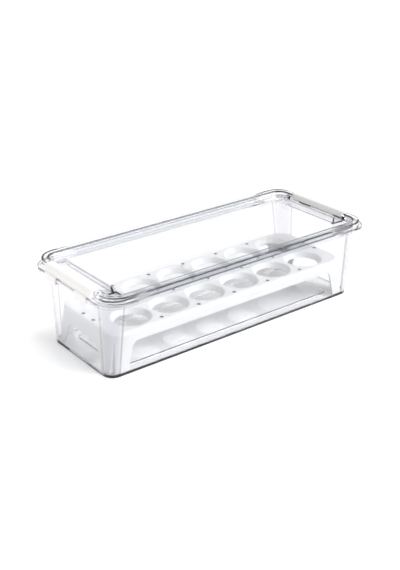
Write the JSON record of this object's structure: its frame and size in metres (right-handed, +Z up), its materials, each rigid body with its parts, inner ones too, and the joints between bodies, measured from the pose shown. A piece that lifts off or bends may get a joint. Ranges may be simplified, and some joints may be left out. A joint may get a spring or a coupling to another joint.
{
  "type": "egg keeper",
  "caption": "Clear rectangular egg keeper with a flip lid held by a hooked latch at each end, and a white lift-out tray with open seats that hold eggs upright.",
  "frame": {"origin": "centre of the base, on the surface that it stands on", "axes": "+X along the length towards the end that the lid turns on, +Y across, +Z up"},
  "size_m": [0.3758, 0.1544, 0.101],
  "materials": {
    "clear_plastic": "clear, polished",
    "latch_plastic": "satin off-white",
    "tray_plastic": "smooth white"
  },
  "bodies": {
    "container": {"container": "clear_plastic"},
    "lid": {"lid": "clear_plastic"},
    "near_latch": {"near_latch": "latch_plastic"},
    "far_latch": {"far_latch": "latch_plastic"},
    "egg_tray": {"egg_tray": "tray_plastic"}
  },
  "joints": [
    {"name": "lid_flip", "type": "hinge", "parent": "container", "child": "lid", "pos_m": [0.1765, 0, 0.0965], "axis": [0, 1, 0], "range_deg": [0, 95]},
    {"name": "far_latch_swing", "type": "hinge", "parent": "container", "child": "far_latch", "pos_m": [0.1765, 0, 0.0965], "axis": [0, -1, 0], "range_deg": [0, 85]},
    {"name": "near_latch_swing", "type": "hinge", "parent": "lid", "child": "near_latch", "pos_m": [-0.1765, 0, 0.0965], "axis": [0, 1, 0], "range_deg": [0, 85]},
    {"name": "tray_lift", "type": "slide", "parent": "container", "child": "egg_tray", "axis": [0, 0, 1], "range_m": [0, 0.038]}
  ]
}
